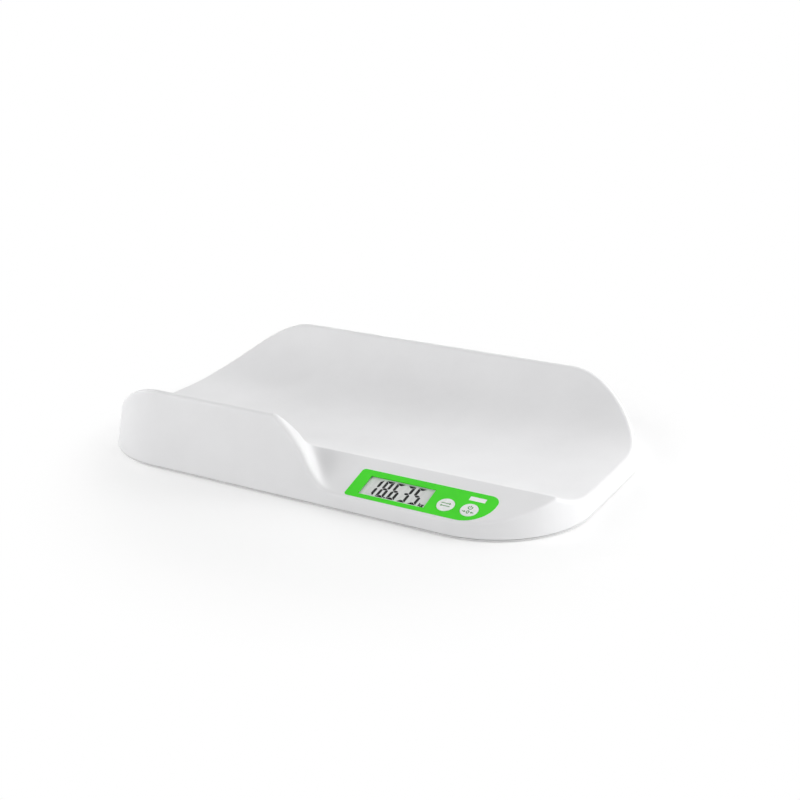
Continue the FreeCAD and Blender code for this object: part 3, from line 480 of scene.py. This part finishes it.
def add_ring(mesh: BMesh, inner: float, outer: float, sweep: tuple[float, float], depth: float,
             place: Matrix) -> None:
    """Add a flat ring, or part of one, by spinning its cross-section.

    Args:
        mesh: Mesh that gets the ring.
        inner: Inner radius in millimetres.
        outer: Outer radius in millimetres.
        sweep: First and last angle, in degrees.
        depth: Thickness in millimetres.
        place: Matrix from the drawing's millimetres to metres in place.
    """
    corners = [(inner, 0.0, 0.0), (outer, 0.0, 0.0), (outer, 0.0, depth), (inner, 0.0, depth)]
    before = set(mesh.verts)
    section = mesh.faces.new([mesh.verts.new(corner) for corner in corners])
    first = Matrix.Rotation(math.radians(sweep[0]), 4, "Z")
    bmesh.ops.transform(mesh, matrix=first, verts=section.verts[:])
    turn = sweep[1] - sweep[0]
    bmesh.ops.spin(mesh, geom=[section], cent=(0, 0, 0), axis=(0, 0, 1), steps=RING_STEPS,
                   angle=math.radians(turn), use_merge=math.isclose(turn, FULL_TURN))
    new = [vert for vert in mesh.verts if vert not in before]
    bmesh.ops.transform(mesh, matrix=place, verts=new)


def add_text(mesh: BMesh, text: str, size: float, depth: float, place: Matrix) -> None:
    """Add flat type with the given thickness, its first letter's foot at the origin.

    Args:
        mesh: Mesh that gets the type.
        text: What it says.
        size: Size of the type in millimetres.
        depth: Thickness in millimetres.
        place: Matrix from the drawing's millimetres to metres in place.
    """
    curve = bpy.data.curves.new("type", "FONT")
    curve.body = text
    curve.size = size
    curve.extrude = depth / 2
    curve.offset = size * TYPE_WEIGHT
    curve.resolution_u = TYPE_STEPS
    holder = bpy.data.objects.new("type", curve)
    data = bpy.data.meshes.new_from_object(holder)
    data.transform(place @ Matrix.Translation(Vector((0.0, 0.0, depth / 2))))
    mesh.from_mesh(data)
    bpy.data.objects.remove(holder)
    bpy.data.meshes.remove(data)


# ------------------------------------------------------------------------- keys


class KeyMark(Enum):
    """Each printed key: the body that its sign rides on, and X of its centre in millimetres."""

    UNIT = ("unit_key", 167.9)
    TARE = ("tare_key", 193.0)

    @property
    def body(self) -> str:
        """The key's body."""
        return self.value[0]

    @property
    def x(self) -> float:
        """X of the key's centre on the ledge."""
        return self.value[1]


@dataclass(frozen=True)
class KeyPrint:
    """Generic signs on the two keys, printed in green. Lengths are in millimetres.

    Attributes:
        centre_v: V of the keys' centres on the ledge.
        level: W of the keys' faces.
        stroke: Width of a line.
        ink: Thickness of the ink.
        head: Length of an arrow's head.
        barb: Half-width of an arrow's head.
        swap_reach: Half-length of the two opposed arrows.
        swap_rise: How far they stand above and below the key's centre.
        power_rise: How far the power sign stands above the key's centre.
        power_radius: Radius of the middle of its ring's line.
        power_sweep: First and last angle of its ring, in degrees.
        power_stem: Foot and top of its stem, from its own centre.
        zero_drop: How far the zero stands below the key's centre.
        zero_radius: Outer radius of the zero before its stretch.
        zero_stretch: Stretch of the zero, across and upwards.
        aside_reach: Distance from the zero's middle to the tail of each arrow beside it.
        aside_length: Length of those arrows.
    """

    centre_v: float = 19.1
    level: float = 0.5
    stroke: float = 1.0
    ink: float = 0.03
    head: float = 1.9
    barb: float = 1.52
    swap_reach: float = 5.2
    swap_rise: float = 1.9
    power_rise: float = 3.1
    power_radius: float = 2.2
    power_sweep: tuple[float, float] = (130.0, 410.0)
    power_stem: tuple[float, float] = (0.1, 2.9)
    zero_drop: float = 3.3
    zero_radius: float = 2.0
    zero_stretch: tuple[float, float] = (0.8, 1.15)
    aside_reach: float = 6.0
    aside_length: float = 3.8

    def arrow(self, mesh: BMesh, mark: KeyMark, x: float, v: float, length: float,
              turn: float) -> None:
        """Add an arrow.

        Args:
            mesh: Mesh that gets it.
            mark: Key that carries it.
            x: Tail's place to the right of the key's centre.
            v: Tail's place above the key's centre.
            length: Length from tail to tip.
            turn: Turn from pointing right, in degrees.
        """
        half, neck = self.stroke / 2, length - self.head
        outline = [(0, -half), (neck, -half), (neck, -self.barb), (length, 0),
                   (neck, self.barb), (neck, half), (0, half)]
        place = LEDGE.matrix(mark.x + x, self.centre_v + v, self.level, turn)
        add_prism(mesh, outline, self.ink, place)

    def unit_sign(self) -> None:
        """Print two opposed arrows on the unit key, for a change of unit."""
        mesh, mark = bmesh.new(), KeyMark.UNIT
        reach, rise = self.swap_reach, self.swap_rise
        self.arrow(mesh, mark, -reach, rise, 2 * reach, 0.0)
        self.arrow(mesh, mark, reach, -rise, 2 * reach, 180.0)
        finish_piece("unit_sign", mesh, mark.body, GREEN_INK)

    def tare_sign(self) -> None:
        """Print the power sign over a zero between two arrows on the tare key."""
        mesh, mark = bmesh.new(), KeyMark.TARE
        half = self.stroke / 2
        foot, top = self.power_stem
        power = LEDGE.matrix(mark.x, self.centre_v + self.power_rise, self.level)
        add_ring(mesh, self.power_radius - half, self.power_radius + half, self.power_sweep,
                 self.ink, power)
        add_prism(mesh, [(-half, foot), (half, foot), (half, top), (-half, top)], self.ink, power)
        stretch = Matrix.Diagonal(Vector((*self.zero_stretch, 1.0, 1.0)))
        zero = LEDGE.matrix(mark.x, self.centre_v - self.zero_drop, self.level) @ stretch
        add_ring(mesh, self.zero_radius - self.stroke, self.zero_radius, (0.0, FULL_TURN),
                 self.ink, zero)
        self.arrow(mesh, mark, -self.aside_reach, -self.zero_drop, self.aside_length, 0.0)
        self.arrow(mesh, mark, self.aside_reach, -self.zero_drop, self.aside_length, 180.0)
        finish_piece("tare_sign", mesh, mark.body, GREEN_INK)

    def build(self) -> None:
        """Make both signs."""
        self.unit_sign()
        self.tare_sign()


# ------------------------------------------------------------------------- reading

# The seven segments, from the top one clockwise to the upper left one, then the middle one.
ALL_SEGMENTS = "abcdefg"
LIT_SEGMENTS = {"0": "abcdef", "1": "bc", "2": "abged", "3": "abgcd", "4": "fgbc",
                "5": "afgcd", "6": "afgedc", "7": "abc", "8": "abcdefg", "9": "abcdfg"}


@dataclass(frozen=True)
class Reading:
    """The number on the display, in seven slanted segments a digit. Lengths are in millimetres.

    Attributes:
        text: Digits and decimal point.
        height: Height of a digit.
        width: Width of a digit.
        bar: Width of a segment.
        point: Side of the decimal point.
        pitch: Distance from one digit to the next.
        gap: Gap between neighbouring segments.
        slant: Lean of the digits, in degrees.
        right: X of the last digit's right edge on the ledge.
        bottom: V of the digits' feet on the ledge.
        level: W of the cell's face on the ledge.
        unit: Unit that stands after the number.
        unit_left: X of the unit's left edge on the ledge.
        unit_size: Height of the unit's type.
        lit_depth: Thickness of what is switched on.
        trace_depth: Thickness of the trace of what is off.
    """

    text: str = "18.635"
    height: float = 25.0
    width: float = 8.9
    bar: float = 3.0
    point: float = 1.8
    pitch: float = 12.0
    gap: float = 0.3
    slant: float = 3.0
    right: float = 138.2
    bottom: float = 10.8
    level: float = -2.0
    unit: str = "kg"
    unit_left: float = 141.0
    unit_size: float = 6.4
    lit_depth: float = 0.06
    trace_depth: float = 0.03

    def outline(self, segment: str) -> list[tuple[float, float]]:
        """Draw one mitred segment of an upright digit whose foot is at the origin.

        Args:
            segment: Letter of the segment.

        Returns:
            Its corners in order.
        """
        bar, half, gap = self.bar, self.bar / 2, self.gap
        middle = self.height / 2
        if segment == "g":
            left, right = half + gap, self.width - half - gap
            return [(left, middle), (left + half, middle + half), (right - half, middle + half),
                    (right, middle), (right - half, middle - half), (left + half, middle - half)]
        if segment in "ad":
            low = [(gap, 0.0), (self.width - gap, 0.0),
                   (self.width - gap - bar, bar), (gap + bar, bar)]
            return low if segment == "d" else [(x, self.height - y) for x, y in low]
        low_left = [(0.0, gap), (bar, gap + bar), (bar, middle - half - gap),
                    (half, middle - gap), (0.0, middle - half - gap)]
        if segment in "bf":
            low_left = [(x, self.height - y) for x, y in low_left]
        if segment in "bc":
            low_left = [(self.width - x, y) for x, y in low_left]
        return low_left

    def add_digits(self, lit: BMesh, trace: BMesh) -> None:
        """Add every digit's segments.

        Args:
            lit: Mesh that gets the segments that are on.
            trace: Mesh that gets the segments that are off.
        """
        shear = Matrix.Identity(4)
        shear[0][1] = math.tan(math.radians(self.slant))
        digits = self.text.replace(".", "")
        for index, digit in enumerate(digits):
            left = self.right - self.width - self.pitch * (len(digits) - 1 - index)
            place = LEDGE.matrix(left, self.bottom, self.level) @ shear
            for segment in ALL_SEGMENTS:
                if segment in LIT_SEGMENTS[digit]:
                    add_prism(lit, self.outline(segment), self.lit_depth, place)
                else:
                    add_prism(trace, self.outline(segment), self.trace_depth, place)

    def add_point(self, lit: BMesh) -> None:
        """Add the decimal point, in the middle of the gap between two digits.

        Args:
            lit: Mesh that gets it.
        """
        digits_after = len(self.text) - 1 - self.text.index(".")
        space = self.pitch - self.width
        x = self.right + space / 2 - self.pitch * digits_after
        half = self.point / 2
        square = [(-half, -half), (half, -half), (half, half), (-half, half)]
        add_prism(lit, square, self.lit_depth, LEDGE.matrix(x, self.bottom + half, self.level))

    def build(self) -> None:
        """Make what is switched on, and the faint trace of the segments that are off."""
        lit, trace = bmesh.new(), bmesh.new()
        self.add_digits(lit, trace)
        self.add_point(lit)
        add_text(lit, self.unit, self.unit_size, self.lit_depth,
                 LEDGE.matrix(self.unit_left, self.bottom, self.level))
        finish_piece("reading_on", lit, "casing", SEGMENT_ON)
        finish_piece("reading_off", trace, "casing", SEGMENT_OFF)


# ------------------------------------------------------------------------- stage


@dataclass(frozen=True)
class SoftLamp:
    """A square soft lamp that looks at the object.

    Attributes:
        name: Name of the lamp.
        place: Its place in metres.
        size: Length of its side in metres.
        power: Power in watts.
        aim: Point that it looks at, in metres.
    """

    name: str
    place: tuple[float, float, float]
    size: float
    power: float
    aim: tuple[float, float, float] = (0.0, 0.0, 0.04)

    def build(self) -> None:
        """Add the lamp."""
        data = bpy.data.lights.new(self.name, "AREA")
        data.size = self.size
        data.energy = self.power
        lamp = bpy.data.objects.new(self.name, data)
        lamp.location = self.place
        direction = Vector(self.aim) - Vector(self.place)
        lamp.rotation_euler = direction.to_track_quat("-Z", "Y").to_euler()
        bpy.context.scene.collection.objects.link(lamp)


# A large lamp on the right for the soft highlight, and weaker ones all round, so that no side
# lies in the dark.
LAMPS = (
    SoftLamp("right_softbox", (1.6, 0.3, 0.9), 1.8, 25.5),
    SoftLamp("low_right_fill", (1.8, 0.2, 0.35), 1.0, 6.0),
    SoftLamp("front_left_softbox", (-0.9, -1.5, 0.9), 1.4, 17.8),
    SoftLamp("left_softbox", (-1.7, 0.0, 0.8), 1.2, 9.2),
    SoftLamp("front_fill", (0.0, -1.8, 0.35), 1.2, 5.2),
    SoftLamp("rear_right_softbox", (1.2, 1.3, 0.8), 1.6, 9.0),
    SoftLamp("rear_top_softbox", (0.2, 1.2, 1.6), 1.2, 3.3),
    SoftLamp("rear_fill", (-0.3, 1.7, 1.0), 1.4, 6.4),
    SoftLamp("rear_left_fill", (-0.93, 1.65, 0.65), 0.8, 2.8),
)


@dataclass(frozen=True)
class Stage:
    """Camera, floor, background and soft lamps.

    Attributes:
        camera_place: Camera's place in metres.
        camera_turn: Camera's turn about X, Y and Z, in degrees.
        lens: Focal length in millimetres.
        sensor: Width of the sensor in millimetres.
        near_limit: Distance from which the camera sees, in metres.
        floor_reach: Half the length of the floor's sides, in metres.
        paper: Colour of the paper under the object, sRGB hex.
        floor_lift: Light that the paper adds where it is seen.
        paper_centre: Centre of the oval, in metres, outside which the floor is plain white.
        paper_reach: Half-lengths of that oval, in metres.
        fade_start: Share of the oval's reach where the fade begins.
    """

    camera_place: tuple[float, float, float] = (0.6708, -1.1218, 0.5085)
    camera_turn: tuple[float, float, float] = (70.91, 0.0, 29.52)
    lens: float = 56.39
    sensor: float = 36.0
    near_limit: float = 0.01
    floor_reach: float = 6.0
    paper: str = "#E8E8E8"
    floor_lift: float = 0.27
    paper_centre: tuple[float, float] = (0.05, 0.0)
    paper_reach: tuple[float, float] = (0.40, 0.45)
    fade_start: float = 0.6

    def camera(self) -> None:
        """Add the camera."""
        data = bpy.data.cameras.new("camera")
        data.sensor_width = self.sensor
        data.lens = self.lens
        data.clip_start = self.near_limit
        camera = bpy.data.objects.new("camera", data)
        camera.location = self.camera_place
        camera.rotation_euler = [math.radians(angle) for angle in self.camera_turn]
        bpy.context.scene.collection.objects.link(camera)
        bpy.context.scene.camera = camera

    def seen(self, tree: NodeTree) -> NodeSocket:
        """Tell the rays that show a thing from those that only light it.

        Args:
            tree: Node tree that gets the nodes.

        Returns:
            1 where the ray comes from the camera, a mirror or clear glass, else 0.
        """
        path = add_node(tree, "ShaderNodeLightPath")
        shown = path.outputs["Is Camera Ray"]
        for ray in ("Is Glossy Ray", "Is Transmission Ray"):
            shown = add_node(tree, "ShaderNodeMath", {0: shown, 1: path.outputs[ray]},
                             operation="MAXIMUM").outputs[0]
        return shown

    def background(self) -> None:
        """Make the background plain white where it is seen, with no light of its own."""
        world = bpy.data.worlds.new("studio")
        world.use_nodes = True
        tree = world.node_tree
        tree.nodes.clear()
        glow = add_node(tree, "ShaderNodeBackground", {
            "Color": WHITE, "Strength": self.seen(tree)})
        add_node(tree, "ShaderNodeOutputWorld", {"Surface": glow.outputs["Background"]})
        bpy.context.scene.world = world

    def floor(self) -> None:
        """Add a white floor that keeps the object's shadow."""
        mesh = bmesh.new()
        bmesh.ops.create_grid(mesh, x_segments=1, y_segments=1, size=self.floor_reach)
        data = bpy.data.meshes.new("floor")
        mesh.to_mesh(data)
        mesh.free()
        floor = bpy.data.objects.new("floor", data)
        bpy.context.scene.collection.objects.link(floor)
        data.materials.append(self.floor_material())

    def outside_paper(self, tree: NodeTree) -> NodeSocket:
        """Measure how far a point of the floor lies on its way out of the paper's oval.

        Args:
            tree: Node tree of the floor's material.

        Returns:
            0 on the paper, 1 outside its oval, and a smooth change between them.
        """
        place = add_node(tree, "ShaderNodeTexCoord").outputs["Object"]
        shift = [-middle / reach for middle, reach in zip(self.paper_centre, self.paper_reach)]
        scaled = add_node(tree, "ShaderNodeMapping", {
            "Vector": place, "Location": shift + [0.0],
            "Scale": [1.0 / reach for reach in self.paper_reach] + [0.0]})
        radius = add_node(tree, "ShaderNodeVectorMath", {0: scaled.outputs[0]},
                          operation="LENGTH")
        fade = add_node(tree, "ShaderNodeMapRange", {
            "Value": radius.outputs["Value"], "From Min": self.fade_start, "From Max": 1.0},
            interpolation_type="SMOOTHSTEP")
        return fade.outputs["Result"]

    def floor_material(self) -> Material:
        """Lay matte white paper under the object, which fades into the plain white background.

        Returns:
            The material.
        """
        material = bpy.data.materials.new("white_paper")
        material.use_nodes = True
        tree = material.node_tree
        tree.nodes.clear()
        paper = add_node(tree, "ShaderNodeBsdfDiffuse", {"Color": linear(self.paper)})
        lift = add_node(tree, "ShaderNodeEmission", {
            "Color": WHITE, "Strength": self.floor_lift})
        near = add_node(tree, "ShaderNodeAddShader", {0: paper.outputs[0], 1: lift.outputs[0]})
        far = add_node(tree, "ShaderNodeEmission", {"Color": WHITE, "Strength": 1.0})
        shown = add_node(tree, "ShaderNodeMixShader", {
            0: self.outside_paper(tree), 1: near.outputs[0], 2: far.outputs[0]})
        mix = add_node(tree, "ShaderNodeMixShader", {
            0: self.seen(tree), 1: paper.outputs[0], 2: shown.outputs[0]})
        add_node(tree, "ShaderNodeOutputMaterial", {"Surface": mix.outputs[0]})
        return material

    def build(self) -> None:
        """Set the whole stage."""
        bpy.context.scene.view_settings.view_transform = "Standard"
        self.camera()
        self.background()
        self.floor()
        for lamp in LAMPS:
            lamp.build()


def main() -> None:
    """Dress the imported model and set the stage."""
    logging.basicConfig(level=logging.INFO, format="%(message)s")
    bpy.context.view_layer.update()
    Stage().build()
    dress_nodes(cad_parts)
    Reading().build()
    KeyPrint().build()


if __name__ == "__main__":
    main()
